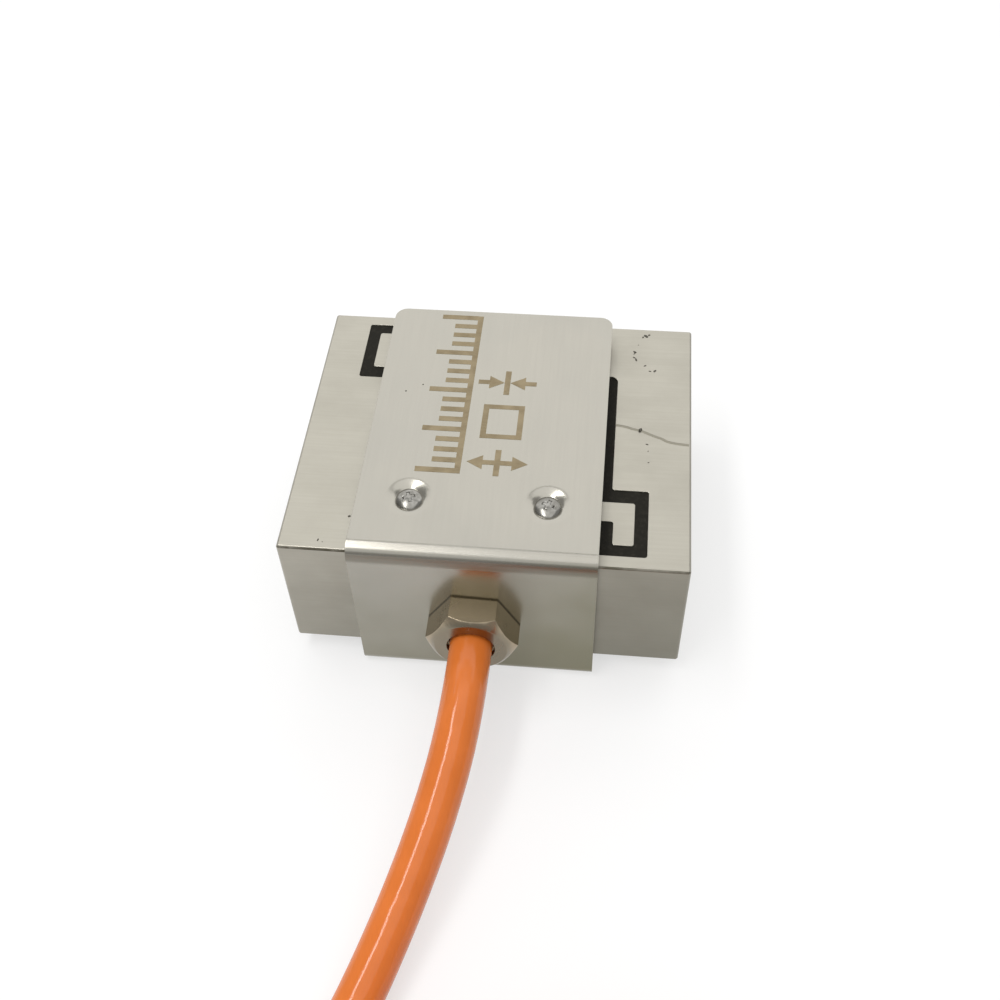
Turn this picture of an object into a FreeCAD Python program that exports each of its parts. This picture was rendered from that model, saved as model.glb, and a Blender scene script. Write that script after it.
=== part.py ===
"""S type load cell lying on its broad side, with its lead.

Millimetres. X is the load axis, -Y is the side where the lead comes out, Z is up. The origin is on the
underside of the cover, on which the cell rests, straight below the middle of the spring element.

The spring element is one block, cut into an S by two slots that run across the load axis. Each slot ends in a
pair of hooks, which catch each other when the cell is overloaded. Between the slots stand two thin beams, with
the strain gauges on their inner faces, and a folded cover is screwed over them.
"""
import FreeCAD, Part
import math
import os

V = FreeCAD.Vector

# Spring element: one block of steel.
BODY_LENGTH = 60.0  # along the load axis
BODY_DEPTH = 50.0  # front to back
BODY_HEIGHT = 23.0  # between the broad faces
EDGE_BREAK = 0.3  # chamfer on every outer edge

# Slots: the main run of each, and the narrower cut that goes round its hooks.
SLOT_FROM_END = 13.0  # from the end of the block to the middle of the main run
SLOT_WIDTH = 2.4
SLOT_PAST_CENTRE = 13.3  # how far the main run goes past the middle of the block
HOOK_GAP = 1.95  # clear cut round the hooks
HOOK_PAST_SLOT = 1.6  # from the middle of the main run outwards to the inner side of the hook's head
HOOK_WIDTH = 3.15  # across the hook's head, and across the tooth behind it
HOOK_LENGTH = 7.95  # from the back of the neck to the tip of the hook's head
HOOK_NECK = 3.65
LIP = 2.2  # thin strip of the end block past the hook's tip
CUT_CORNER = 0.4  # radius that the cutter leaves in the corners
SEALANT_BELOW = 0.15  # the sealant in the slots stands this far below the broad faces

# Window between the slots: its side walls are the two beams.
BEAM_THICKNESS = 2.6
WINDOW_DEPTH = 18.0  # free length of the beams
WINDOW_CORNER = 3.0
WINDOW_SEAL_THICKNESS = 2.5
WINDOW_SEAL_BELOW = 0.3

# Threaded load holes, M8, one in each end.
LOAD_THREAD_D = 8.0
LOAD_THREAD_DEPTH = 8.5
LOAD_MOUTH_CHAMFER = 0.5
DRILL_POINT = 118.0  # degrees across the tip of the drill

# Cover: one steel sheet folded round the top, the front and the underside.
SHEET = 1.0
COVER_WIDTH = 36.0
COVER_X = -1.15  # middle of the cover, and of everything that is fixed through it
COVER_STANDS_OFF = 3.1  # from each broad face to the outside of the sheet
COVER_FRONT_STANDS_OFF = 2.2  # from the block's front face to the outside of the sheet
COVER_SHORT_OF_BACK = 1.15
COVER_BEND = 2.2  # outer radius of the two folds
COVER_REAR_CORNER = 2.0

# Cover screws, M2 pan heads in round dishes that are pressed into the sheet, with a spacer under each dish.
SCREW_FROM_SLOT = 1.5  # steel left between the right-hand screws and the mouth of their slot
SCREW_FROM_FRONT = 8.4  # from the block's front face
SCREW_D = 2.0
SCREW_IN_BLOCK = 5.0
SCREW_HEAD_D = 4.0
SCREW_HEAD_HEIGHT = 1.15
SCREW_HEAD_BEVEL = 0.4
CROSS_WIDTH = 0.5
CROSS_LENGTH = 2.2
CROSS_DEPTH = 0.7
SCREW_HOLE_PLAY = 0.1
DISH_FLOOR_PLAY = 0.2  # round the screw head
DISH_SLOPE = 1.35  # across the slope, from the flat sheet down to the floor
DISH_DEPTH = 1.2
SPACER_D = 4.6

# Cable gland: a hollow hexagon screw, a thrust washer and a rubber sleeve that it squeezes onto the cable.
GLAND_DROP = 1.0  # below the middle of the block
GLAND_ACROSS_FLATS = 12.0
GLAND_HEAD_LENGTH = 4.8
GLAND_FACE_D = 10.8
GLAND_CHAMFER = 1.2  # along the corners
GLAND_TURN = -2.4  # degrees off level, as it was tightened
GLAND_THREAD_D = 10.0
GLAND_STEM = 8.6  # from under the head
THREAD_PLAY = 0.05
GLAND_BORE_PLAY = 0.15  # round the cable
GLAND_MOUTH_PLAY = 0.4
GLAND_MOUTH_DEPTH = 1.0
GLAND_HOLE_PLAY = 0.2  # cover sheet round the gland's stem
WASHER_THICKNESS = 0.8
SLEEVE_LENGTH = 4.4
LEAD_HOLE_D = 5.2  # from the gland's chamber through to the window

# Gauges, terminal board and fine wires in the window.
GAUGE_LENGTH = 5.0
GAUGE_WIDTH = 4.0
GAUGE_THICKNESS = 0.2
GAUGE_FROM_CORNER = 0.2  # from the gauge to the window's rounded corner
BOARD_WIDTH = 11.0
BOARD_HEIGHT = 12.0
BOARD_THICKNESS = 1.0
GAUGE_WIRE_D = 0.4
GAUGE_WIRE_SPREAD = 3.6  # between the wires' feet on the board
CORE_D = 1.3
CORE_SPACING = 1.5  # between the four cores inside the gland

# Lead.
CABLE_D = 6.4
COIL_CENTRE = (19.7, -132.0)
COIL_MEAN_D = 67.2  # ten and a half diameters
COIL_TURNS_ACROSS = 4
COIL_LAYERS = 3
TIE_THICKNESS = 1.0
TIE_WIDTH = 4.8
TIE_HEAD = (3.4, 6.0, 5.6)  # outwards, along the band and across it
TIE_ANGLES = (45.0, 135.0, 305.0)  # round the coil; the last one also holds the free end down
TIE_PLAY = 0.4  # round the free end
TIE_INNER_PLAY = 0.16  # the flat band spans the curved inside of the coil
DRAIN_D = 1.5

# Route of the cable from the gland to the coil, chosen by hand: down to the table and along it.
CABLE_ROUTE = [
    (-1.15, -31.5, 13.6),
    (-1.15, -43.5, 13.6),
    (-3.5, -57.0, 9.6),
    (-7.5, -70.8, 5.2),
    (-12.2, -85.0, 3.2),
    (-16.3, -93.6, 3.2),
    (-19.6, -101.6, 3.3),
]
# Free end, which lies on top of the coil.
TAIL_ROUTE = [
    (20.7, -159.4, 23.4),
    (31.2, -157.9, 23.4),
    (41.2, -153.4, 23.4),
    (49.5, -146.5, 23.4),
]
# Stripped cores and the drain wire: they fan out of the jacket and settle on the coil.
CORE_ROUTES = {
    "core_red": [(48.8, -145.4, 24.4), (55.9, -137.0, 23.2), (55.8, -123.6, 20.85)],
    "core_white": [(50.5, -147.4, 24.5), (58.7, -140.3, 23.2), (63.7, -129.9, 20.85)],
    "core_green": [(48.8, -145.5, 22.2), (56.5, -137.7, 21.3), (58.8, -125.7, 20.85)],
    "core_black": [(50.5, -147.4, 22.2), (59.6, -141.4, 21.3), (66.0, -132.7, 20.85)],
}
DRAIN_ROUTE = [(49.6, -146.4, 23.4), (57.4, -138.8, 22.7), (61.2, -127.8, 20.95)]

# Worked out from the sizes above.
SLOT_X = BODY_LENGTH / 2 - SLOT_FROM_END
HOOK_X = SLOT_X + HOOK_PAST_SLOT
BLOCK_BOTTOM = COVER_STANDS_OFF
BLOCK_TOP = BLOCK_BOTTOM + BODY_HEIGHT
MIDDLE = BLOCK_BOTTOM + BODY_HEIGHT / 2
COVER_HEIGHT = BODY_HEIGHT + 2 * COVER_STANDS_OFF
SPACER_HEIGHT = COVER_STANDS_OFF - SHEET - DISH_DEPTH
FRONT = -BODY_DEPTH / 2
COVER_FRONT = FRONT - COVER_FRONT_STANDS_OFF
SLOT_INNER = SLOT_X - SLOT_WIDTH / 2
SLOT_OUTER = SLOT_X + SLOT_WIDTH / 2
WINDOW_HALF = SLOT_INNER - BEAM_THICKNESS
GLAND_Z = MIDDLE - GLAND_DROP
STEM_END = COVER_FRONT + GLAND_STEM
WASHER_END = STEM_END + WASHER_THICKNESS
SHOULDER = WASHER_END + SLEEVE_LENGTH
JACKET_END = SHOULDER - 0.5
BOARD_FACE = WINDOW_DEPTH / 2 - BOARD_THICKNESS
GAUGE_Y = WINDOW_DEPTH / 2 - WINDOW_CORNER - GAUGE_FROM_CORNER - GAUGE_LENGTH / 2
SLOT_MOUTH = HOOK_X - 2 * HOOK_GAP - HOOK_WIDTH
SCREW_HALF_PITCH = SLOT_MOUTH - SCREW_FROM_SLOT - SCREW_D / 2 - COVER_X
SCREW_PLACES = [(COVER_X + side * SCREW_HALF_PITCH, FRONT + SCREW_FROM_FRONT) for side in (-1, 1)]
COIL_BUILD = COIL_TURNS_ACROSS * CABLE_D
COIL_INNER = (COIL_MEAN_D - COIL_BUILD) / 2
COIL_OUTER = (COIL_MEAN_D + COIL_BUILD) / 2
COIL_BOTTOM = TIE_THICKNESS
COIL_TOP = COIL_BOTTOM + COIL_LAYERS * CABLE_D
THROUGH = 1.0  # how far a cutting tool runs past the face that it opens


def flat(u, v):
    """A point of a plan outline, at height nought."""
    return V(u, v, 0)


def side_on(u, v):
    """A point of an outline drawn in the YZ plane."""
    return V(0, u, v)


def face_on(u, v):
    """A point of an outline drawn in the XZ plane: a section through the coil, or the gland from the front."""
    return V(u, 0, v)


def outline(corners, place):
    """Closed wire through corners (u, v, radius), each rounded by its own radius."""
    edges = []
    ends = []
    count = len(corners)
    for i, (u, v, radius) in enumerate(corners):
        corner = V(u, v, 0)
        back = (V(*corners[i - 1][:2], 0) - corner).normalize()
        on = (V(*corners[(i + 1) % count][:2], 0) - corner).normalize()
        if radius <= 0:
            ends.append((corner, None, corner))
            continue
        half = back.getAngle(on) / 2
        reach = radius / math.tan(half)
        centre = corner + (back + on).normalize() * (radius / math.sin(half))
        middle = centre + (corner - centre).normalize() * radius
        ends.append((corner + back * reach, middle, corner + on * reach))
    for i, (start, middle, end) in enumerate(ends):
        if middle is not None:
            edges.append(Part.Arc(place(*start[:2]), place(*middle[:2]), place(*end[:2])).toShape())
        following = ends[(i + 1) % count][0]
        if end.distanceToPoint(following) > 1e-6:
            edges.append(Part.LineSegment(place(*end[:2]), place(*following[:2])).toShape())
    return Part.Wire(edges)


def cylinder(radius, start, end):
    """Round bar between two points."""
    along = end - start
    return Part.makeCylinder(radius, along.Length, start, along)


def turned(corners, axis_point, axis):
    """Solid of revolution of an outline drawn with face_on: u is the radius and v the place along the axis."""
    shape = Part.Face(outline(corners, face_on)).revolve(V(0, 0, 0), V(0, 0, 1), 360)
    shape = Part.Solid(shape) if shape.ShapeType == "Shell" else shape
    shape.Placement = FreeCAD.Placement(axis_point, FreeCAD.Rotation(V(0, 0, 1), axis))
    return shape


def half_turn(shape):
    """Copy of a shape, turned by half a turn about the middle of the block."""
    copy = shape.copy()
    copy.rotate(V(0, 0, 0), V(0, 0, 1), 180)
    return copy


def slot_outline():
    """Plan of the right-hand slot: from the front edge, round the tooth and the hook, and along the beam."""
    tip = FRONT + LIP + HOOK_GAP
    neck_back = tip + HOOK_LENGTH
    neck_front = neck_back - HOOK_NECK
    head_outer = HOOK_X + HOOK_WIDTH
    tooth_outer = HOOK_X - HOOK_GAP
    tooth_inner = tooth_outer - HOOK_WIDTH
    end = SLOT_WIDTH / 2
    corner = CUT_CORNER
    return outline(
        [
            (SLOT_MOUTH, FRONT, 0),
            (SLOT_MOUTH, neck_front, corner),
            (HOOK_X, neck_front, corner),
            (HOOK_X, tip, corner),
            (head_outer, tip, corner),
            (head_outer, neck_back, corner),
            (SLOT_INNER, neck_back, corner),
            (SLOT_INNER, SLOT_PAST_CENTRE, end),
            (SLOT_OUTER, SLOT_PAST_CENTRE, end),
            (SLOT_OUTER, neck_back + SLOT_WIDTH, corner),
            (head_outer + HOOK_GAP, neck_back + SLOT_WIDTH, corner),
            (head_outer + HOOK_GAP, FRONT + LIP, corner),
            (tooth_outer, FRONT + LIP, corner),
            (tooth_outer, neck_front - HOOK_GAP, corner),
            (tooth_inner, neck_front - HOOK_GAP, corner),
            (tooth_inner, FRONT, 0),
        ],
        flat,
    )


def slot_fill(bottom, top):
    """Prism of the right-hand slot between two heights."""
    prism = Part.Face(slot_outline()).extrude(V(0, 0, top - bottom))
    prism.translate(V(0, 0, bottom))
    return prism


def window_fill(bottom, top):
    """Prism of the window between two heights."""
    x = WINDOW_HALF
    y = WINDOW_DEPTH / 2
    corners = [(x, y, WINDOW_CORNER), (-x, y, WINDOW_CORNER), (-x, -y, WINDOW_CORNER), (x, -y, WINDOW_CORNER)]
    prism = Part.Face(outline(corners, flat)).extrude(V(0, 0, top - bottom))
    prism.translate(V(0, 0, bottom))
    return prism


def load_hole(side):
    """Threaded hole in one end, at its thread's outer diameter, with the drill's point and a broken mouth."""
    radius = LOAD_THREAD_D / 2
    point = radius / math.tan(math.radians(DRILL_POINT / 2))
    corners = [
        (0, -THROUGH, 0),
        (radius + LOAD_MOUTH_CHAMFER, -THROUGH, 0),
        (radius + LOAD_MOUTH_CHAMFER, 0, 0),
        (radius, LOAD_MOUTH_CHAMFER, 0),
        (radius, LOAD_THREAD_DEPTH, 0),
        (0, LOAD_THREAD_DEPTH + point, 0),
    ]
    return turned(corners, V(side * BODY_LENGTH / 2, 0, MIDDLE), V(-side, 0, 0))


def spring_element():
    """The block, its edges broken, with the slots, the window and every hole."""
    block = Part.makeBox(BODY_LENGTH, BODY_DEPTH, BODY_HEIGHT, V(-BODY_LENGTH / 2, FRONT, BLOCK_BOTTOM))
    block = block.makeChamfer(EDGE_BREAK, block.Edges)
    slot = slot_fill(BLOCK_BOTTOM - THROUGH, BLOCK_TOP + THROUGH)
    cuts = [slot, half_turn(slot), window_fill(BLOCK_BOTTOM - THROUGH, BLOCK_TOP + THROUGH)]
    cuts += [load_hole(side) for side in (-1, 1)]
    cuts.append(cylinder(GLAND_THREAD_D / 2, V(COVER_X, FRONT - THROUGH, GLAND_Z), V(COVER_X, SHOULDER, GLAND_Z)))
    cuts.append(cylinder(LEAD_HOLE_D / 2, V(COVER_X, SHOULDER - THROUGH, GLAND_Z), V(COVER_X, 0, GLAND_Z)))
    for x, y in SCREW_PLACES:
        for face, inwards in ((BLOCK_TOP, -1), (BLOCK_BOTTOM, 1)):
            cuts.append(
                cylinder(
                    SCREW_D / 2,
                    V(x, y, face - inwards * THROUGH),
                    V(x, y, face + inwards * (SCREW_IN_BLOCK + THROUGH)),
                )
            )
    return block.cut(Part.makeCompound(cuts))


def dish():
    """Round dish pressed into the sheet, for a face at height nought; its floor stands on a spacer."""
    floor = SCREW_HEAD_D / 2 + DISH_FLOOR_PLAY
    hole = SCREW_D / 2 + SCREW_HOLE_PLAY
    mouth = floor + DISH_SLOPE
    low = SPACER_HEIGHT
    high = SPACER_HEIGHT + DISH_DEPTH
    section = [
        (hole, low, 0),
        (floor, low, 0),
        (mouth, high, 0),
        (mouth, high + SHEET, 0),
        (floor, low + SHEET, 0),
        (hole, low + SHEET, 0),
    ]
    return turned(section, V(0, 0, 0), V(0, 0, 1))


def to_face(shape, x, y, top):
    """Copy of something made for a face at height nought, set on the block's top or underside."""
    copy = shape.copy()
    if not top:
        copy.rotate(V(0, 0, 0), V(1, 0, 0), 180)
    copy.translate(V(x, y, BLOCK_TOP if top else BLOCK_BOTTOM))
    return copy


def cover():
    """The folded sheet with its dishes and the gland's hole; it is open at the back and at both sides."""
    rear = BODY_DEPTH / 2 - COVER_SHORT_OF_BACK
    inner_bend = COVER_BEND - SHEET
    section = outline(
        [
            (rear, 0, 0),
            (COVER_FRONT, 0, COVER_BEND),
            (COVER_FRONT, COVER_HEIGHT, COVER_BEND),
            (rear, COVER_HEIGHT, 0),
            (rear, COVER_HEIGHT - SHEET, 0),
            (COVER_FRONT + SHEET, COVER_HEIGHT - SHEET, inner_bend),
            (COVER_FRONT + SHEET, SHEET, inner_bend),
            (rear, SHEET, 0),
        ],
        side_on,
    )
    left = COVER_X - COVER_WIDTH / 2
    sheet = Part.Face(section).extrude(V(COVER_WIDTH, 0, 0))
    sheet.translate(V(left, 0, 0))
    corner = COVER_REAR_CORNER
    plan = outline(
        [
            (left, COVER_FRONT - THROUGH, 0),
            (left + COVER_WIDTH, COVER_FRONT - THROUGH, 0),
            (left + COVER_WIDTH, rear, corner),
            (left, rear, corner),
        ],
        flat,
    )
    sheet = sheet.common(Part.Face(plan).extrude(V(0, 0, COVER_HEIGHT)))
    hole = GLAND_THREAD_D / 2 + GLAND_HOLE_PLAY
    openings = [cylinder(hole, V(COVER_X, COVER_FRONT - THROUGH, GLAND_Z), V(COVER_X, FRONT, GLAND_Z))]
    mouth = SCREW_HEAD_D / 2 + DISH_FLOOR_PLAY + DISH_SLOPE
    dishes = []
    for x, y in SCREW_PLACES:
        openings.append(cylinder(mouth, V(x, y, -THROUGH), V(x, y, COVER_HEIGHT + THROUGH)))
        dishes += [to_face(dish(), x, y, top) for top in (True, False)]
    return sheet.cut(Part.makeCompound(openings)).fuse(dishes).removeSplitter()


def screw():
    """Pan-head screw with a cross recess, for a face at height nought, seated on the dish's floor."""
    seat = SPACER_HEIGHT + SHEET
    top = seat + SCREW_HEAD_HEIGHT
    head = SCREW_HEAD_D / 2
    shank = SCREW_D / 2
    blank = turned(
        [
            (0, -SCREW_IN_BLOCK, 0),
            (shank, -SCREW_IN_BLOCK, 0),
            (shank, seat, 0),
            (head, seat, 0),
            (head, top - SCREW_HEAD_BEVEL, 0),
            (head - SCREW_HEAD_BEVEL, top, 0),
            (0, top, 0),
        ],
        V(0, 0, 0),
        V(0, 0, 1),
    )
    long = CROSS_LENGTH
    narrow = CROSS_WIDTH
    recess = Part.makeBox(long, narrow, CROSS_DEPTH + THROUGH, V(-long / 2, -narrow / 2, top - CROSS_DEPTH))
    crossing = recess.copy()
    crossing.rotate(V(0, 0, 0), V(0, 0, 1), 90)
    return blank.cut(recess.fuse(crossing))


def cover_screws():
    """The four screws that hold the cover, two on each face."""
    return Part.makeCompound([to_face(screw(), x, y, top) for top in (True, False) for x, y in SCREW_PLACES])


def cover_spacers():
    """The four rings that carry the dishes' floors, so that the screws don't bend the sheet."""
    ring = cylinder(SPACER_D / 2, V(0, 0, 0), V(0, 0, SPACER_HEIGHT))
    ring = ring.cut(cylinder(SCREW_D / 2 + SCREW_HOLE_PLAY, V(0, 0, 0), V(0, 0, SPACER_HEIGHT)))
    return Part.makeCompound([to_face(ring, x, y, top) for top in (True, False) for x, y in SCREW_PLACES])


def gland_screw():
    """Hollow hexagon screw, chamfered in front, with its stem through the cover and into the block."""
    middle = V(COVER_X, COVER_FRONT, GLAND_Z)
    forwards = V(0, -1, 0)
    across_corners = GLAND_ACROSS_FLATS / math.cos(math.pi / 6)
    sides = []
    for i in range(6):
        angle = math.radians(60 * i + GLAND_TURN)
        sides.append((across_corners / 2 * math.cos(angle), across_corners / 2 * math.sin(angle), 0))
    head = Part.Face(outline(sides, face_on)).extrude(forwards * GLAND_HEAD_LENGTH)
    head.translate(middle)
    envelope = turned(
        [
            (0, 0, 0),
            (across_corners / 2, 0, 0),
            (across_corners / 2, GLAND_HEAD_LENGTH - GLAND_CHAMFER, 0),
            (GLAND_FACE_D / 2, GLAND_HEAD_LENGTH, 0),
            (0, GLAND_HEAD_LENGTH, 0),
        ],
        middle,
        forwards,
    )
    stem = cylinder(GLAND_THREAD_D / 2 - THREAD_PLAY, middle, V(COVER_X, STEM_END, GLAND_Z))
    front = V(COVER_X, COVER_FRONT - GLAND_HEAD_LENGTH, GLAND_Z)
    bore = cylinder(CABLE_D / 2 + GLAND_BORE_PLAY, front, V(COVER_X, STEM_END, GLAND_Z))
    mouth = cylinder(CABLE_D / 2 + GLAND_MOUTH_PLAY, front, front - forwards * GLAND_MOUTH_DEPTH)
    return head.common(envelope).fuse(stem).cut(bore.fuse(mouth))


def ring_on_cable(outer, start, end, play):
    """Ring round the cable, inside the gland."""
    return cylinder(outer, V(COVER_X, start, GLAND_Z), V(COVER_X, end, GLAND_Z)).cut(
        cylinder(CABLE_D / 2 + play, V(COVER_X, start, GLAND_Z), V(COVER_X, end, GLAND_Z))
    )


def strain_gauge(x_side, y_side):
    """One gauge, bonded flat to the inner face of a beam near its root."""
    outer = WINDOW_HALF if x_side > 0 else -WINDOW_HALF + GAUGE_THICKNESS
    return Part.makeBox(
        GAUGE_THICKNESS,
        GAUGE_LENGTH,
        GAUGE_WIDTH,
        V(outer - GAUGE_THICKNESS, y_side * GAUGE_Y - GAUGE_LENGTH / 2, MIDDLE - GAUGE_WIDTH / 2),
    )


def terminal_board():
    """Small board on the rear wall of the window, where the gauges and the lead are joined."""
    return Part.makeBox(
        BOARD_WIDTH,
        BOARD_THICKNESS,
        BOARD_HEIGHT,
        V(-BOARD_WIDTH / 2, BOARD_FACE, MIDDLE - BOARD_HEIGHT / 2),
    )


def gauge_wires():
    """Fine wire from each gauge to the board."""
    wires = []
    for x_side in (-1, 1):
        for y_side in (-1, 1):
            height = MIDDLE + y_side * GAUGE_WIRE_SPREAD
            start = V(x_side * (WINDOW_HALF - GAUGE_THICKNESS), y_side * GAUGE_Y, MIDDLE)
            end = V(x_side * GAUGE_WIRE_SPREAD, BOARD_FACE, height)
            wires.append(cylinder(GAUGE_WIRE_D / 2, start, end))
    room = window_fill(BLOCK_BOTTOM, BLOCK_TOP)
    room = room.cut([terminal_board()] + [strain_gauge(x, y) for x in (-1, 1) for y in (-1, 1)])
    return Part.makeCompound([wire.common(room) for wire in wires])


def inner_core(x_side, z_side):
    """One core of the cable, from its jacket's end to the board."""
    x = COVER_X + x_side * CORE_SPACING / 2
    z = GLAND_Z + z_side * CORE_SPACING / 2
    return cylinder(CORE_D / 2, V(x, JACKET_END, z), V(x, BOARD_FACE, z))


def cord(points, diameter, name):
    """Tube along straight runs that are joined by the largest tangent arcs that the runs leave room for."""
    corners = [V(*point) for point in points]
    edges = []
    radii = []
    start = corners[0]
    for before, corner, after in zip(corners, corners[1:], corners[2:]):
        back = before - corner
        on = after - corner
        half_turn_angle = (math.pi - back.getAngle(on)) / 2
        reach = 0.45 * min(back.Length, on.Length)
        radius = reach / math.tan(half_turn_angle)
        radii.append(radius)
        back.normalize()
        on.normalize()
        inwards = (back + on).normalize()
        centre = corner + inwards * (radius / math.cos(half_turn_angle))
        arc_start = corner + back * reach
        arc_end = corner + on * reach
        edges.append(Part.LineSegment(start, arc_start).toShape())
        edges.append(Part.Arc(arc_start, centre - inwards * radius, arc_end).toShape())
        start = arc_end
    edges.append(Part.LineSegment(start, corners[-1]).toShape())
    path = Part.Wire(edges)
    section = Part.Wire([Part.makeCircle(diameter / 2, corners[0], corners[1] - corners[0])])
    tube = path.makePipeShell([section], True, False)
    expected = math.pi * diameter**2 / 4 * path.Length
    print(f"{name}: {path.Length:.1f} mm, volume {tube.Volume / expected:.4f} of section x length,", end=" ")
    print("radii", [round(radius, 1) for radius in radii])
    return tube


def coil_section(inside):
    """Section of the coiled length, its corners cut off where the outermost turns curve away."""
    corner = CABLE_D / 2
    return [
        (inside, COIL_BOTTOM + corner, 0),
        (inside + corner, COIL_BOTTOM, 0),
        (COIL_OUTER - corner, COIL_BOTTOM, 0),
        (COIL_OUTER, COIL_BOTTOM + corner, 0),
        (COIL_OUTER, COIL_TOP - corner, 0),
        (COIL_OUTER - corner, COIL_TOP, 0),
        (inside + corner, COIL_TOP, 0),
        (inside, COIL_TOP - corner, 0),
    ]


def cable_coil():
    """Outer shape of the coiled length: a ring."""
    return turned(coil_section(COIL_INNER), V(*COIL_CENTRE, 0), V(0, 0, 1))


def coil_tie(angle, over_tail):
    """Flat tie pulled round the coil's section, its head outside; over_tail takes it over the free end too."""
    section = coil_section(COIL_INNER - TIE_INNER_PLAY)
    if over_tail:
        x, y, z = [(before + after) / 2 for before, after in zip(*TAIL_ROUTE[1:3])]
        tail = math.hypot(x - COIL_CENTRE[0], y - COIL_CENTRE[1])
        room = CABLE_D / 2 + TIE_PLAY
        corner = room * math.tan(math.pi / 8)
        section[6:7] = [
            (tail + corner, z + room, 0),
            (tail - corner, z + room, 0),
            (tail - room, z + corner, 0),
        ]
    inner = outline(section, face_on)
    outer = inner.makeOffset2D(TIE_THICKNESS)
    band = Part.Face(outer).cut(Part.Face(inner)).Faces[0].extrude(V(0, TIE_WIDTH, 0))
    band.translate(V(0, -TIE_WIDTH / 2, 0))
    outwards, along, across = TIE_HEAD
    head = Part.makeBox(outwards, across, along)
    head.translate(V(COIL_OUTER + TIE_THICKNESS, -across / 2, (COIL_BOTTOM + COIL_TOP - along) / 2))
    tie = band.fuse(head).removeSplitter()
    tie.rotate(V(0, 0, 0), V(0, 0, 1), angle)
    tie.translate(V(*COIL_CENTRE, 0))
    return tie


def parts():
    """Every node of the load cell and its shape."""
    seal_gap = SEALANT_BELOW
    slot_seal = slot_fill(BLOCK_BOTTOM + seal_gap, BLOCK_TOP - seal_gap)
    seal_top = BLOCK_TOP - WINDOW_SEAL_BELOW
    seal_bottom = BLOCK_BOTTOM + WINDOW_SEAL_BELOW
    made = {
        "spring_element": spring_element(),
        "slot_sealant_right": slot_seal,
        "slot_sealant_left": half_turn(slot_seal),
        "window_seal_top": window_fill(seal_top - WINDOW_SEAL_THICKNESS, seal_top),
        "window_seal_bottom": window_fill(seal_bottom, seal_bottom + WINDOW_SEAL_THICKNESS),
        "cover": cover(),
        "cover_screws": cover_screws(),
        "cover_spacers": cover_spacers(),
        "gland_screw": gland_screw(),
        "gland_washer": ring_on_cable(GLAND_THREAD_D / 2 - THREAD_PLAY, STEM_END, WASHER_END, GLAND_BORE_PLAY),
        "gland_sleeve": ring_on_cable(GLAND_THREAD_D / 2, WASHER_END, SHOULDER, 0),
        "terminal_board": terminal_board(),
        "gauge_wires": gauge_wires(),
    }
    for x_side, x_name in ((-1, "left"), (1, "right")):
        for y_side, y_name in ((-1, "front"), (1, "rear")):
            made[f"strain_gauge_{x_name}_{y_name}"] = strain_gauge(x_side, y_side)
    sides = {"red": (-1, 1), "black": (-1, -1), "green": (1, 1), "white": (1, -1)}
    for colour, (x_side, z_side) in sides.items():
        made[f"inner_core_{colour}"] = inner_core(x_side, z_side)
    mouth = V(*CABLE_ROUTE[0])
    made["cable_in_gland"] = cylinder(CABLE_D / 2, V(mouth.x, JACKET_END, mouth.z), mouth)
    made["cable"] = cord(CABLE_ROUTE, CABLE_D, "cable")
    made["cable_coil"] = cable_coil()
    made["cable_tail"] = cord(TAIL_ROUTE, CABLE_D, "cable_tail")
    for name, route in CORE_ROUTES.items():
        made[name] = cord(route, CORE_D, name)
    made["drain_wire"] = cord(DRAIN_ROUTE, DRAIN_D, "drain_wire")
    for i, angle in enumerate(TIE_ANGLES, 1):
        made[f"coil_tie_{i}"] = coil_tie(angle, over_tail=i == len(TIE_ANGLES))
    return made


os.makedirs("parts", exist_ok=True)
for name, shape in parts().items():
    if not shape.isValid():
        raise ValueError(f"{name} isn't a valid shape")
    shape.exportStep(f"parts/{name}.step")
    print(f"{name}: {len(shape.Solids)} solids, {shape.Volume:.1f} mm3")
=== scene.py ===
"""Looks of an S type load cell that lies on its broad side, with its lead wound up in front of it.

Metres, in the frame of the solids: X is the load axis, -Y is the side where the lead comes out, Z is up.
Sizes in the tables below are millimetres and go through mm().
"""
import math
import random

import bmesh
import bpy
from mathutils import Matrix, Vector


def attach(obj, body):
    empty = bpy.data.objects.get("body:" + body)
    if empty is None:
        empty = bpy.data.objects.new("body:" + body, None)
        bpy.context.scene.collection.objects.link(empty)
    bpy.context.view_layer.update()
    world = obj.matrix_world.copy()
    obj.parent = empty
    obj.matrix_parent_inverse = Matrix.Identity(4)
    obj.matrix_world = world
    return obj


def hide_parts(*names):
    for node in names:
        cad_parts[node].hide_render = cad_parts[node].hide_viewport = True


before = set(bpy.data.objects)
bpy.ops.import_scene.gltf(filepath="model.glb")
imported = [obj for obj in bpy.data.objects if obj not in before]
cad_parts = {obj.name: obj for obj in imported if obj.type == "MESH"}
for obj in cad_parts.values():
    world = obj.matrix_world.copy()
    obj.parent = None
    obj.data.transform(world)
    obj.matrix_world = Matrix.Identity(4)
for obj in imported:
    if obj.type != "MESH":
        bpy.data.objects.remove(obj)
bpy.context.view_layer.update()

# The lead, as the solids have it.
CABLE_D = 6.4
CABLE_ROUTE = [
    (-1.15, -31.5, 13.6),
    (-1.15, -43.5, 13.6),
    (-3.5, -57.0, 9.6),
    (-7.5, -70.8, 5.2),
    (-12.2, -85.0, 3.2),
    (-16.3, -93.6, 3.2),
    (-19.6, -101.6, 3.3),
]
TAIL_ROUTE = [
    (20.7, -159.4, 23.4),
    (31.2, -157.9, 23.4),
    (41.2, -153.4, 23.4),
    (49.5, -146.5, 23.4),
]
RUN_IN = (-22.9, -112.0, 3.6)  # between the route's end and the coil's first turn
CORE_D = 1.3
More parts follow.
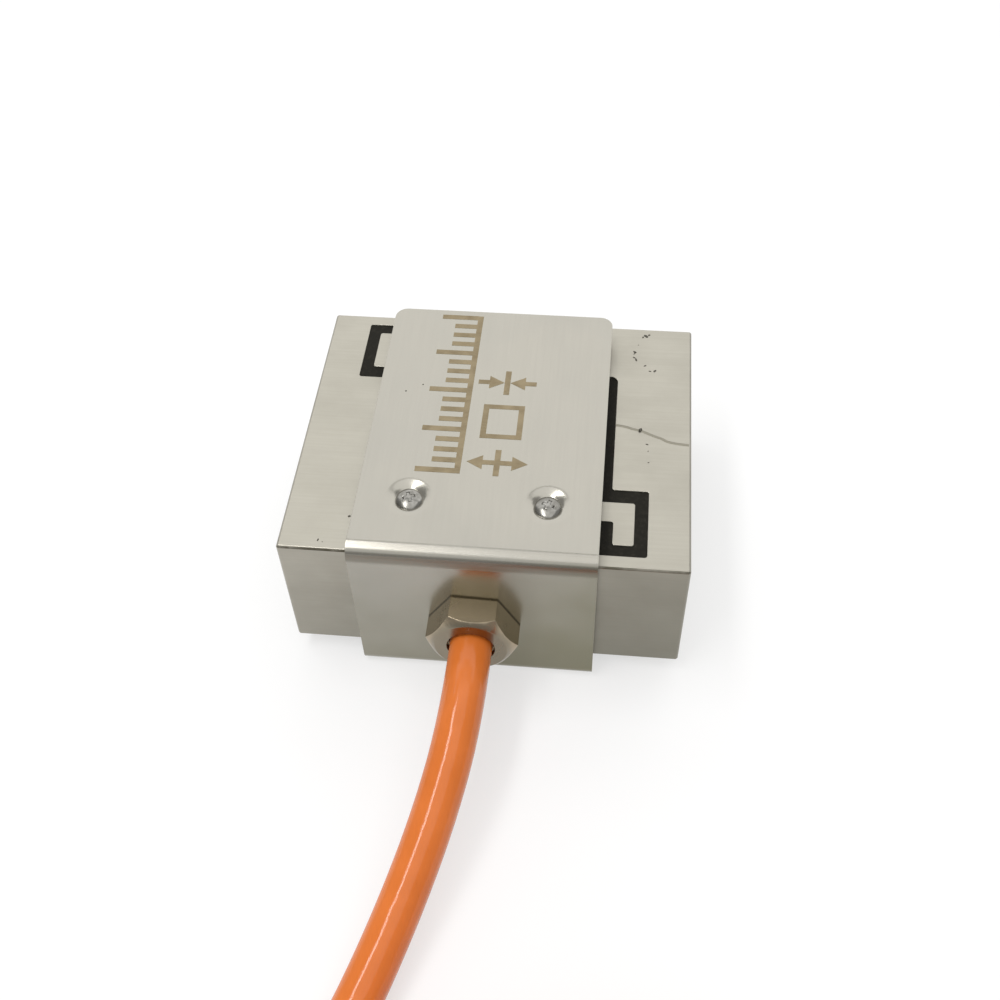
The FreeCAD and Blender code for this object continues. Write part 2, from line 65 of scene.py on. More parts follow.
STRANDS_D = 0.7 * CORE_D
CORE_ROUTES = {
    "red": [(48.8, -145.4, 24.4), (55.9, -137.0, 23.2), (55.8, -123.6, 20.85)],
    "white": [(50.5, -147.4, 24.5), (58.7, -140.3, 23.2), (63.7, -129.9, 20.85)],
    "green": [(48.8, -145.5, 22.2), (56.5, -137.7, 21.3), (58.8, -125.7, 20.85)],
    "black": [(50.5, -147.4, 22.2), (59.6, -141.4, 21.3), (66.0, -132.7, 20.85)],
}
CORE_COLOURS = {
    "red": ((0.50, 0.02, 0.015), (0.62, 0.04, 0.03)),
    "white": ((0.72, 0.72, 0.69), (0.82, 0.82, 0.80)),
    "green": ((0.02, 0.22, 0.05), (0.04, 0.30, 0.08)),
    "black": ((0.012, 0.012, 0.012), (0.03, 0.03, 0.03)),
}
INSULATION_END = 0.84  # shares of a core's length
STRANDS_START = 0.82
DRAIN_D = 1.5
DRAIN_STRANDS_D = 0.8 * DRAIN_D
DRAIN_ROUTE = [(49.6, -146.4, 23.4), (57.4, -138.8, 22.7), (61.2, -127.8, 20.95)]

# The coil: its turns lie side by side in layers, the first layer wound inwards.
COIL_CENTRE = (19.7, -132.0)
COIL_MEAN_D = 67.2
TURNS_ACROSS = 4
LAYERS = 3
COIL_BOTTOM = 1.0
POINTS_PER_TURN = 16
CLIMB_TURN = 0.25  # share of a turn in which the cable climbs to the next layer
TOP_TURNS = 2.5  # turns in the top layer
TIE_THICKNESS = 0.8
TIE_WIDTH = 4.8
TIE_BEND = 0.45 * CABLE_D  # radius at the corners of the coil's section
TIE_ROUNDING = 0.25
TIE_ANGLES = (45.0, 135.0, 305.0)
TIE_HEAD = (3.2, 5.8, 5.4)
TIE_HEAD_OUT = 2.6  # from the coil's outside to the head's middle
TIE_TONGUE = (1.1, 4.2, 1.6)  # the cut end that stands out of the head
TIE_TONGUE_OUT = 2.4
TIE_TONGUE_UP = 3.2

# The block and its load threads.
BODY_LENGTH = 60.0
BLOCK_TOP = 26.1
BLOCK_FRONT = -25.0
THREAD_D = 8.0
THREAD_PITCH = 1.25
THREAD_SUNK = 0.05  # how far the ridge's root lies in the hole's wall
THREAD_DEPTH = 0.54  # share of the pitch
THREAD_START = 0.4  # from the block's end
THREAD_TURNS = 5.6
THREAD_STEPS = 28  # a turn
MIDDLE = 14.6  # height of the load axis

# The cover, its folds, its dishes and their screws.
COVER_TOP = 29.2
COVER_FRONT = -27.2
COVER_BEND = 2.2
FOLD_END = COVER_TOP - COVER_BEND
SCREW_PLACES = [(-11.35, -16.6), (9.05, -16.6)]
DISH_FLOOR = 2.2  # radii of the bent cone
DISH_MOUTH = 3.55
DISH_REACH = 3.8  # radii between which the real sheet sinks
DISH_END = 1.9
DISH_SINK = 0.72
MOUTH_ROUNDING = 0.75
FLOOR_ROUNDING = 0.3
FACE_ROUNDING = 0.4
EDGE_ROUNDING = 0.12
HEAD_D = 4.25
HEAD_HEIGHT = 0.9
HEAD_BELOW = 0.03  # from the cover's top down to the head's
CROSS_ANGLES = (20, 70)  # degrees, one for each screw place
CROSS_WIDTH = 0.45
CROSS_REACH = 0.95
CROSS_DEPTH = 0.4
SHANK_D = 2.0
SHANK_LENGTH = 6.8
GLAND_FACE = COVER_FRONT - 4.7  # just behind the front of the gland's hexagon

# The marks on the cover, and the specks and the hairline in the ground face.
MARK_ROOM = 0.03
MARK_Z = 29.186
MARK_WIDTH = 0.9
SPINE_X = -4.9  # the scale's long stroke
SPINE_FROM = -11.7
SPINE_TO = 22.7
FIRST_TICK = -11.2
TICKS = 17
TICK_PITCH = 2.09
TICK_WIDTH = 1.0
SHORT_TICK = 3.6
LONG_TICK = 5.9
ARROWS_X = 0.9
PULL_Y = -9.2
PUSH_Y = 7.6
BAR_HALF = 2.6  # half the bar between two arrows
ARROW_REACH = 4.6  # from the bar's middle to an arrow's outer end
ARROW_HEAD = 1.6  # radius of its three corners
SQUARE_X = (-1.85, 3.65)
SQUARE_Y = (-3.9, 2.3)
SPECK_ON_COVER = 29.171
SPECK_THICKNESS = 0.05  # share of its size
HAIRLINE_D = 1.0  # a cord sunk into the block, of which only a narrow line stands out
HAIRLINE_Z = 25.68

# Shared by the shapes.
WELD = 0.002  # vertices nearer than this become one
SHARP_EDGE = 25.0  # degrees between its faces, from which an edge is rounded
BROAD_FACE = 2.0  # square millimetres
FLAT_RIM = 0.06
STEEL_ROUNDING = 0.14  # along the edges of the block and the gland

# The camera and the floor.
CAMERA_AZIMUTH = 7.30  # degrees
CAMERA_ELEVATION = 50.51
CAMERA_ROLL = -2.19
CAMERA_LENS = 44.505
CAMERA_PLACE = (16.575, -129.782, 168.027)
FLOOR_REACH = 6.0  # metres, from its middle to each side
FLOOR_TONE = 0.86
FLOOR_GLOW = 0.6  # share of plain white in what the floor shows


def mm(*sizes):
    """Millimetres as metres: one number, or a vector of several."""
    metres = [size / 1000 for size in sizes]
    return metres[0] if len(metres) == 1 else Vector(metres)


# ---------------------------------------------------------------------------------------------------------
# Materials


class Finish:
    """A material in the making: its principled shader, and short ways to add texture nodes to it."""

    def __init__(self, name, **sockets):
        self.material = bpy.data.materials.new(name)
        self.material.use_nodes = True
        self.nodes = self.material.node_tree.nodes
        self.links = self.material.node_tree.links
        self.shader = self.nodes["Principled BSDF"]
        self.feed(self.shader, **sockets)
        self.place = self.nodes.new("ShaderNodeTexCoord").outputs["Object"]

    def plug(self, target, value):
        """Links another node's output to a socket, or gives the socket a number or a colour."""
        if isinstance(value, bpy.types.NodeSocket):
            self.links.new(value, target)
        else:
            target.default_value = (*value, 1.0) if target.type == "RGBA" else value

    def set(self, socket, value):
        """Sets one of the shader's own sockets, or links a node's output to it."""
        self.plug(self.shader.inputs[socket], value)

    def feed(self, node, **inputs):
        """Fills a node's inputs by name, with numbers or with other nodes' outputs."""
        for name, value in inputs.items():
            self.plug(node.inputs[name.replace("_", " ")], value)
        return node

    def stretched(self, per_metre):
        """Object coordinates scaled by a different count per metre along each axis."""
        mapping = self.nodes.new("ShaderNodeMapping")
        return self.feed(mapping, Vector=self.place, Scale=per_metre).outputs["Vector"]

    def noise(self, per_metre, detail=3.0, roughness=0.55, distortion=0.0):
        """Noise from 0 to 1, with its grain given as a count per metre along X, Y and Z."""
        texture = self.nodes.new("ShaderNodeTexNoise")
        self.feed(
            texture,
            Vector=self.stretched(per_metre),
            Scale=1.0,
            Detail=detail,
            Roughness=roughness,
            Distortion=distortion,
        )
        return texture.outputs["Fac"]

    def spread(self, value, low, high, to_low=0.0, to_high=1.0):
        """Stretches low..high of a value to another range, and clamps it there."""
        node = self.nodes.new("ShaderNodeMapRange")
        node.interpolation_type = "SMOOTHSTEP"
        self.feed(node, Value=value, From_Min=low, From_Max=high, To_Min=to_low, To_Max=to_high)
        return node.outputs["Result"]

    def maths(self, operation, first, second=0.0):
        """One sum on one or two values."""
        node = self.nodes.new("ShaderNodeMath")
        node.operation = operation
        self.plug(node.inputs[0], first)
        self.plug(node.inputs[1], second)
        return node.outputs["Value"]

    def blend(self, amount, first, second):
        """Mixes two colours."""
        node = self.nodes.new("ShaderNodeMix")
        node.data_type = "RGBA"
        colours = [socket for socket in node.inputs if socket.type == "RGBA"]
        self.plug(node.inputs[0], amount)
        self.plug(colours[0], first)
        self.plug(colours[1], second)
        return [socket for socket in node.outputs if socket.type == "RGBA"][0]

    def axis(self, name):
        """One object coordinate, in metres."""
        node = self.nodes.new("ShaderNodeSeparateXYZ")
        self.links.new(self.place, node.inputs[0])
        return node.outputs[name]

    def near(self, name, middle, half, soft):
        """1 where an object coordinate lies within half of middle, falling to 0 over another soft."""
        off = self.maths("ABSOLUTE", self.maths("SUBTRACT", self.axis(name), middle))
        return self.spread(off, half + soft, half)

    def film(self, behind, front):
        """Greasy film and painted shade on a front face: cloudy, and darker towards its lower right, where
        the painted shade stands in for the darker floor the face reflects; there is none behind.
        """
        clouds = self.noise((75, 75, 90), detail=2.0)
        right = self.maths("MULTIPLY", self.axis("X"), 0.63)
        lower = self.maths("SUBTRACT", right, self.axis("Z"))
        reach = self.maths("ADD", lower, self.maths("MULTIPLY", clouds, mm(26)))
        # Painted shade: the mask grows towards the lower right of the face.
        film_and_shade = self.spread(reach, mm(-29), mm(25))
        return self.maths("MULTIPLY", film_and_shade, self.spread(self.axis("Y"), behind, front))

    def bump(self, height, depth, strength=1.0):
        """Relief of that depth in metres."""
        node = self.nodes.new("ShaderNodeBump")
        self.feed(node, Height=height, Distance=depth, Strength=strength)
        self.set("Normal", node.outputs["Normal"])
        return self


def block_steel():
    """Ground stainless steel: grinding lines along the load axis, soft clouds, dirt on the front edge, and
    painted shade that darkens the front face towards its lower right.
    """
    finish = Finish("block steel", Metallic=1.0)
    lines = finish.noise((70, 2600, 2600), detail=2.0)
    clouds = finish.noise((110, 140, 140), detail=4.0)
    tone = finish.blend(finish.spread(lines, 0.2, 0.8), (0.386, 0.368, 0.318), (0.410, 0.391, 0.338))
    tone = finish.blend(finish.spread(clouds, 0.3, 0.8, 0.0, 0.6), tone, (0.360, 0.342, 0.294))
    high = finish.near("Z", mm(BLOCK_TOP - 0.17), mm(0.14), mm(0.1))
    forward = finish.near("Y", mm(BLOCK_FRONT + 0.07), mm(0.12), mm(0.14))
    edge = finish.maths("MULTIPLY", high, forward)
    patchy = finish.spread(finish.noise((240, 300, 300)), 0.3, 0.6, 0.25, 0.9)
    tone = finish.blend(finish.maths("MULTIPLY", edge, patchy), tone, (0.075, 0.066, 0.045))
    # Painted shade: the front face is darkened towards its lower right, under the cloudy film.
    film = finish.film(mm(BLOCK_FRONT + 0.4), mm(BLOCK_FRONT + 0.1))
    finish.set("Base Color", finish.blend(finish.maths("MULTIPLY", film, 0.65), tone, (0.175, 0.168, 0.132)))
    finish.set("Roughness", finish.spread(clouds, 0.2, 0.8, 0.34, 0.46))
    return finish.bump(lines, mm(0.006)).material


def cover_steel():
    """Rolled sheet: smoother than the block, clouded where it was wiped, duller along the front fold;
    painted shade darkens its front face towards the lower right and in a band just under the fold.
    """
    finish = Finish("cover steel", Metallic=1.0)
    grain = finish.noise((2200, 90, 700), detail=2.0)
    clouds = finish.noise((38, 45, 50), detail=3.0)
    wipes = finish.noise((95, 48, 60), detail=2.0)
    tone = finish.blend(finish.spread(clouds, 0.25, 0.75), (0.395, 0.378, 0.332), (0.375, 0.362, 0.322))
    tone = finish.blend(finish.spread(wipes, 0.4, 0.8, 0.0, 0.5), tone, (0.355, 0.343, 0.306))
    tone = finish.blend(finish.spread(grain, 0.2, 0.8, 0.0, 0.2), tone, (0.345, 0.33, 0.29))
    # Painted shade: the front face is darkened towards its lower right, under the cloudy film.
    film = finish.film(mm(COVER_FRONT + 0.9), mm(COVER_FRONT + 0.2))
    tone = finish.blend(film, tone, (0.222, 0.212, 0.150))
    # Painted shade: a dark band on the front face just under the fold, standing in for the dark reflection
    # there.
    fold_band_shade = finish.near("Z", mm(FOLD_END + 0.4), mm(0.35), mm(1.0))
    forward = finish.spread(finish.axis("Y"), mm(COVER_FRONT + 0.6), mm(COVER_FRONT + 0.1), 0.0, 0.5)
    tone = finish.blend(finish.maths("MULTIPLY", fold_band_shade, forward), tone, (0.150, 0.140, 0.112))
    finish.set("Base Color", tone)
    low = finish.near("Z", mm(FOLD_END + 0.2), mm(0.5), mm(0.5))
    bent = finish.near("Y", mm(COVER_FRONT + 0.1), mm(0.7), mm(0.5))
    fold = finish.maths("MULTIPLY", finish.maths("MULTIPLY", low, bent), 0.2)
    finish.set("Roughness", finish.maths("ADD", finish.spread(wipes, 0.2, 0.9, 0.20, 0.27), fold))
    return finish.bump(grain, mm(0.0006)).material


def screw_steel():
    """Turned steel of the cover screws, dulled in places."""
    finish = Finish("screw steel", Metallic=1.0)
    clouds = finish.noise((620, 620, 620), detail=2.0)
    tone = finish.blend(finish.spread(clouds, 0.3, 0.7), (0.33, 0.322, 0.30), (0.18, 0.173, 0.155))
    finish.set("Base Color", tone)
    finish.set("Roughness", finish.spread(clouds, 0.3, 0.7, 0.18, 0.3))
    return finish.bump(clouds, mm(0.02)).material


def gland_nickel():
    """Nickel plate over brass, a little yellow, with painted shade: darker across the front of its hexagon,
    and a dark line where it meets the cover.
    """
    finish = Finish("gland nickel", Metallic=1.0)
    clouds = finish.noise((300, 240, 300))
    tone = finish.blend(finish.spread(clouds, 0.3, 0.7), (0.395, 0.328, 0.236), (0.340, 0.280, 0.196))
    # Painted shade: a dark brown line where the gland meets the cover.
    line = finish.near("Y", mm(COVER_FRONT - 0.05), mm(0.13), mm(0.16))
    tone = finish.blend(finish.maths("MULTIPLY", line, 0.8), tone, (0.06, 0.045, 0.022))
    # Painted shade: the front of the hexagon is darkened, like the cover's front face.
    face = finish.spread(finish.axis("Y"), mm(GLAND_FACE + 0.7), mm(GLAND_FACE), 0.0, 0.75)
    finish.set("Base Color", finish.blend(face, tone, (0.220, 0.200, 0.155)))
    finish.set("Roughness", finish.spread(clouds, 0.3, 0.7, 0.2, 0.28))
    return finish.bump(clouds, mm(0.008)).material


def black_sealant():
    """Matt potting compound, slightly pitted and dusty."""
    finish = Finish("black sealant", Specular_IOR_Level=0.1)
    grains = finish.noise((1600, 1600, 1600), detail=4.0)
    tone = finish.blend(finish.spread(grains, 0.4, 0.8), (0.010, 0.009, 0.006), (0.024, 0.022, 0.017))
    finish.set("Base Color", tone)
    finish.set("Roughness", finish.spread(grains, 0.2, 0.8, 0.5, 0.75))
    return finish.bump(grains, mm(0.06)).material


def sleeve_rubber():
    """Soft dark rubber of the gland's sleeve."""
    finish = Finish("sleeve rubber")
    grains = finish.noise((1200, 1200, 1200))
    finish.set("Base Color", finish.blend(grains, (0.03, 0.03, 0.03), (0.055, 0.055, 0.05)))
    finish.set("Roughness", finish.spread(grains, 0.2, 0.8, 0.55, 0.75))
    return finish.bump(grains, mm(0.02)).material


def orange_jacket():
    """Glossy orange cable jacket, slightly wavy from extrusion."""
    finish = Finish("orange jacket", IOR=1.42)
    swell = finish.noise((190, 190, 190), detail=2.0)
    tone = finish.blend(finish.spread(swell, 0.2, 0.8), (0.60, 0.150, 0.024), (0.655, 0.170, 0.032))
    finish.set("Base Color", tone)
    finish.set("Roughness", finish.spread(swell, 0.2, 0.8, 0.09, 0.14))
    return finish.bump(swell, mm(0.22), strength=0.7).material


def core_plastic(name, dark, light):
    """Plain insulation of one core."""
    finish = Finish(name)
    clouds = finish.noise((600, 600, 600))
    finish.set("Base Color", finish.blend(clouds, dark, light))
    finish.set("Roughness", finish.spread(clouds, 0.3, 0.7, 0.35, 0.5))
    return finish.bump(clouds, mm(0.02)).material


def tinned_wire():
    """Tinned copper strands."""
    finish = Finish("tinned wire", Metallic=1.0)
    strands = finish.noise((2500, 2500, 2500))
    finish.set("Base Color", finish.blend(strands, (0.55, 0.54, 0.52), (0.72, 0.71, 0.68)))
    finish.set("Roughness", finish.spread(strands, 0.2, 0.8, 0.28, 0.45))
    return finish.bump(strands, mm(0.03)).material


def board_green():
    """Glass-fibre board with a green mask."""
    finish = Finish("board green")
    weave = finish.noise((1500, 1500, 1500), detail=1.0)
    finish.set("Base Color", finish.blend(weave, (0.01, 0.10, 0.04), (0.02, 0.16, 0.06)))
    finish.set("Roughness", finish.spread(weave, 0.2, 0.8, 0.3, 0.45))
    return finish.material


def gauge_film():
    """Amber film of the strain gauges."""
    finish = Finish("gauge film")
    clouds = finish.noise((800, 800, 800))
    finish.set("Base Color", finish.blend(clouds, (0.45, 0.22, 0.05), (0.58, 0.32, 0.10)))
    finish.set("Roughness", finish.spread(clouds, 0.2, 0.8, 0.3, 0.5))
    return finish.material


def tie_nylon():
    """Pale nylon of the ties."""
    finish = Finish("tie nylon", Subsurface_Weight=0.15, Subsurface_Radius=(0.002, 0.002, 0.002))
    clouds = finish.noise((500, 500, 500))
    finish.set("Base Color", finish.blend(clouds, (0.72, 0.71, 0.66), (0.80, 0.79, 0.75)))
    finish.set("Roughness", finish.spread(clouds, 0.2, 0.8, 0.35, 0.5))
    return finish.bump(clouds, mm(0.02)).material


def laser_mark():
    """Steel browned by a laser."""
    finish = Finish("laser mark", Metallic=0.55)
    lines = finish.noise((700, 4500, 700), detail=2.0)
    clouds = finish.noise((420, 420, 420))
    tone = finish.blend(finish.spread(clouds, 0.3, 0.7), (0.190, 0.145, 0.080), (0.265, 0.210, 0.125))
    tone = finish.blend(finish.spread(lines, 0.3, 0.75, 0.0, 0.4), tone, (0.33, 0.28, 0.185))
    finish.set("Base Color", tone)
    finish.set("Roughness", finish.spread(lines, 0.3, 0.7, 0.5, 0.65))
    return finish.material


def dark_speck():
    """Oxide in the specks."""
    finish = Finish("dark speck")
    clouds = finish.noise((3000, 3000, 3000))
    finish.set("Base Color", finish.blend(clouds, (0.03, 0.027, 0.018), (0.11, 0.10, 0.075)))
    finish.set("Roughness", finish.spread(clouds, 0.2, 0.8, 0.6, 0.8))
    return finish.material


def stained_steel():
    """Dull steel of the hairline."""
    finish = Finish("stained steel", Metallic=0.5)
    clouds = finish.noise((900, 900, 900))
    finish.set("Base Color", finish.blend(clouds, (0.21, 0.197, 0.155), (0.29, 0.272, 0.22)))
    finish.set("Roughness", finish.spread(clouds, 0.2, 0.8, 0.5, 0.7))
    return finish.material


# ---------------------------------------------------------------------------------------------------------
# Shaping


def piece(form, name, material):
    """Makes a bmesh a smooth piece of the load cell; its large flat faces stay flat."""
    mesh = bpy.data.meshes.new(name)
    form.to_mesh(mesh)
    form.free()
    mesh.shade_smooth()
    mesh.materials.append(material)
    made = bpy.data.objects.new(name, mesh)
    bpy.context.collection.objects.link(made)
    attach(made, "root")
    flatten = made.modifiers.new("flat faces", "WEIGHTED_NORMAL")
    flatten.weight = 100
    return made


def verts_of(geometry):
    """The vertices among what an operator gives back."""
    return [part for part in geometry if isinstance(part, bmesh.types.BMVert)]


def welded(node):
    """A node's solid as one closed mesh of whole faces."""
    form = bmesh.new()
    form.from_mesh(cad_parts[node].data)
    bmesh.ops.remove_doubles(form, verts=form.verts, dist=mm(WELD))
    bmesh.ops.dissolve_limit(form, angle_limit=math.radians(0.5), verts=form.verts, edges=form.edges)
    return form


def round_edges(form, width, segments=2, where=lambda middle: True):
    """Rounds the sharp edges whose middle, in millimetres, passes a test."""
    edges = []
    for edge in form.edges:
        if len(edge.link_faces) != 2 or edge.calc_face_angle() < math.radians(SHARP_EDGE):
            continue
        middle = (edge.verts[0].co + edge.verts[1].co) / 2
        if where(middle * 1000):
            edges.append(edge)
    bmesh.ops.bevel(
        form,
        geom=edges,
        offset=mm(width),
        segments=segments,
        profile=0.5,
        affect="EDGES",
        clamp_overlap=True,
        material=-1,
    )


def settle_flats(form):
    """Gives the broad flat faces a narrow rim, so that the roundings beside them don't shade them."""
    broad = []
    for face in form.faces:
        square_on = max(abs(part) for part in face.normal) > 0.9999
        if square_on and face.calc_area() > mm(1) * mm(BROAD_FACE):
            broad.append(face)
    bmesh.ops.inset_region(form, faces=broad, thickness=mm(FLAT_RIM), use_even_offset=True)


def stand_in(form, node, material):
    """Puts a finished shape in a node's place."""
    form.normal_update()
    settle_flats(form)
    made = piece(form, f"{node}_finished", material)
    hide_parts(node)
    return made


def refined(node, material, edge, segments=2):
    """A node's own shape with rounded edges, in the node's place."""
    form = welded(node)
    round_edges(form, edge, segments)
    return stand_in(form, node, material)


def keep(node, material):
    """A node whose own shape stays, with its finish."""
    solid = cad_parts[node]
    if not solid.data.materials:
        solid.data.materials.append(material)
    for material_slot in solid.material_slots:
        material_slot.material = material
    return solid


# ---------------------------------------------------------------------------------------------------------
# The lead


def smooth_route(name, points, diameter, material, start=0.0, end=1.0):
    """A round cord on one smooth curve; start and end give the share of its length that is covered."""
    data = bpy.data.curves.new(name, "CURVE")
    data.dimensions = "3D"
    spline = data.splines.new("NURBS")
    spline.points.add(len(points) - 1)
    for point, place in zip(spline.points, points):
        point.co = (*mm(*place), 1.0)
    spline.order_u = 3
    spline.use_endpoint_u = True
    spline.resolution_u = 6
    data.bevel_depth = mm(diameter / 2)
    data.bevel_resolution = 6
    data.use_fill_caps = True
    data.bevel_factor_start = start
    data.bevel_factor_end = end
    data.materials.append(material)
    made = bpy.data.objects.new(name, data)
    bpy.context.collection.objects.link(made)
    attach(made, "root")
    return made


def coil_points():
    """Turns from the left of the coil, anticlockwise from above, up to where the free end starts.

    Each layer is a spiral of one diameter a turn, inwards and outwards in turn; a climb keeps its radius.
    The points stand a little outside the turns, because the curve touches their sides only in the middle.
    """
    outer = COIL_MEAN_D / 2 + CABLE_D * (TURNS_ACROSS - 1) / 2
    across = TURNS_ACROSS - 1
    stretches = [(across, -1, 0), (CLIMB_TURN, 0, 1), (across, 1, 0), (CLIMB_TURN, 0, 1)]
    stretches += [(TOP_TURNS, -1, 0), (CLIMB_TURN, 0, 1)]
    bulge = 1 / math.cos(math.pi / POINTS_PER_TURN)
    points = []
    for i in range(round(sum(turns for turns, _, _ in stretches) * POINTS_PER_TURN)):
        radius = outer
        height = COIL_BOTTOM + CABLE_D / 2
        left = i / POINTS_PER_TURN
        for turns, inwards, up in stretches:
            part = min(left / turns, 1.0)
            radius += inwards * CABLE_D * turns * part
            height += up * CABLE_D * part * part * (3 - 2 * part)
            left -= turns * part
        angle = math.pi + 2 * math.pi * i / POINTS_PER_TURN
        x = COIL_CENTRE[0] + radius * bulge * math.cos(angle)
        y = COIL_CENTRE[1] + radius * bulge * math.sin(angle)
        points.append((x, y, height))
    return points


def coil_tie(index, angle, over_tail, material):
    """A flat tie pulled round the coil's section, with its head outside and a cut end that stands out."""
    half_build = CABLE_D * TURNS_ACROSS / 2
    inside = COIL_MEAN_D / 2 - half_build
    outside = COIL_MEAN_D / 2 + half_build
    bottom = COIL_BOTTOM
    top = COIL_BOTTOM + LAYERS * CABLE_D
    corners = [(inside, bottom), (outside, bottom), (outside, top)]
    if over_tail:
        tail = (Vector(TAIL_ROUTE[1]) + Vector(TAIL_ROUTE[2])) / 2
        reach = (tail.xy - Vector(COIL_CENTRE)).length
        crown = tail.z + CABLE_D / 2
        corners += [(reach + CABLE_D / 2, crown), (reach - CABLE_D / 2, crown)]
    else:
        corners.append((inside, top))
    # The section's rounded outline, drawn out sideways and given its thickness, is the band.
    form = bmesh.new()
    ring = [form.verts.new(mm(u, -TIE_WIDTH / 2, v)) for u, v in corners]
    form.faces.new(ring)
    bmesh.ops.bevel(
        form, geom=ring, offset=mm(TIE_BEND), segments=6, profile=0.5, affect="VERTICES", material=-1
    )
    section = form.faces[:][0]
    edges = list(section.edges)
    bmesh.ops.delete(form, geom=[section], context="FACES_ONLY")
    band = bmesh.ops.extrude_edge_only(form, edges=edges)["geom"]
    bmesh.ops.translate(form, verts=verts_of(band), vec=mm(0, TIE_WIDTH, 0))
    bmesh.ops.recalc_face_normals(form, faces=form.faces)
    height = (bottom + top) / 2
    centre = mm((inside + outside) / 2, 0, height)
    sample = form.faces[:][0]
    if sample.normal.dot(sample.calc_center_median() - centre) < 0:
        bmesh.ops.reverse_faces(form, faces=form.faces)
    bmesh.ops.solidify(form, geom=form.faces[:], thickness=-mm(TIE_THICKNESS))
    # The head and the cut end are blocks outside the coil.
    for size, out, up in ((TIE_HEAD, TIE_HEAD_OUT, 0.0), (TIE_TONGUE, TIE_TONGUE_OUT, TIE_TONGUE_UP)):
        block = bmesh.ops.create_cube(form, size=1.0)["verts"]
        bmesh.ops.scale(form, vec=mm(*size), verts=block)
        bmesh.ops.translate(form, verts=block, vec=mm(outside + out, 0, height + up))
    turn = Matrix.Translation(mm(*COIL_CENTRE, 0)) @ Matrix.Rotation(math.radians(angle), 4, "Z")
    bmesh.ops.transform(form, matrix=turn, verts=form.verts)
    bmesh.ops.remove_doubles(form, verts=form.verts, dist=mm(WELD))
    round_edges(form, TIE_ROUNDING)
    made = piece(form, f"tie_{index}", material)
    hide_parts(f"coil_tie_{index}")
    return made


def lead(jacket, tinned, nylon):
    """The whole lead: cable, coil, ties, stripped end."""
    route = [*CABLE_ROUTE, RUN_IN, *coil_points(), *TAIL_ROUTE]
    line = smooth_route("lead", route, CABLE_D, jacket)
    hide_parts("cable", "cable_coil", "cable_tail")
    along = []
    for colour, core_route in CORE_ROUTES.items():
        name = f"core_{colour}"
        plastic = core_plastic(f"{colour} core", *CORE_COLOURS[colour])
        core = smooth_route(f"{name}_insulation", core_route, CORE_D, plastic, end=INSULATION_END)
        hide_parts(name)
        strand = smooth_route(f"{name}_strands", core_route, STRANDS_D, tinned, start=STRANDS_START)
        along += [core, strand]
    drain = smooth_route("drain_strands", DRAIN_ROUTE, DRAIN_STRANDS_D, tinned)
    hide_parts("drain_wire")
    along.append(drain)
    for index, angle in enumerate(TIE_ANGLES, 1):
        along.append(coil_tie(index, angle, index == len(TIE_ANGLES), nylon))
    along.append(keep("cable_in_gland", jacket))
    return line


# ---------------------------------------------------------------------------------------------------------
# The cell


def off_screw(middle):
    """Distance from the nearest cover screw, seen from above."""
    return min((middle.xy - Vector(place)).length for place in SCREW_PLACES)


def sink_dishes(form):
    """Turns the dishes' straight cones into the soft hollows of pressed sheet, on its outer face only."""
    form.normal_update()
    for vert in form.verts:
        place = vert.co * 1000
        side = 1 if place.z > MIDDLE else -1
        near = off_screw(place)
        if near > DISH_REACH + 0.1 or vert.normal.z * side < 0.05:
            continue
        share = min(max((DISH_REACH - near) / (DISH_REACH - DISH_END), 0.0), 1.0)
        surface = COVER_TOP if side > 0 else 2 * MIDDLE - COVER_TOP
        vert.co.z = mm(surface - side * DISH_SINK * share**2)


def cover(material):
    """The folded sheet: soft dishes and rolled edges; its top is a hair low to leave room for the marks."""
    form = welded("cover")

    def outside(middle):
        return abs(middle.z - MIDDLE) > COVER_TOP - MIDDLE - 0.05

    def at_mouth(middle):
        return outside(middle) and off_screw(middle) < DISH_MOUTH + 0.2

    def at_floor(middle):
        return DISH_FLOOR - 0.2 < off_screw(middle) < DISH_FLOOR + 0.2

    def off_dishes(middle):
        return off_screw(middle) > DISH_MOUTH + 0.5

    round_edges(form, MOUTH_ROUNDING, 6, at_mouth)
    round_edges(form, FLOOR_ROUNDING, 3, at_floor)
    round_edges(form, FACE_ROUNDING, 4, lambda middle: off_dishes(middle) and outside(middle))
    round_edges(form, EDGE_ROUNDING, 2, off_dishes)
    sink_dishes(form)
    upper = [vert for vert in form.verts if vert.co.z > mm(FOLD_END - 1)]
    bmesh.ops.translate(form, verts=upper, vec=mm(0, 0, -MARK_ROOM))
    return stand_in(form, "cover", material)


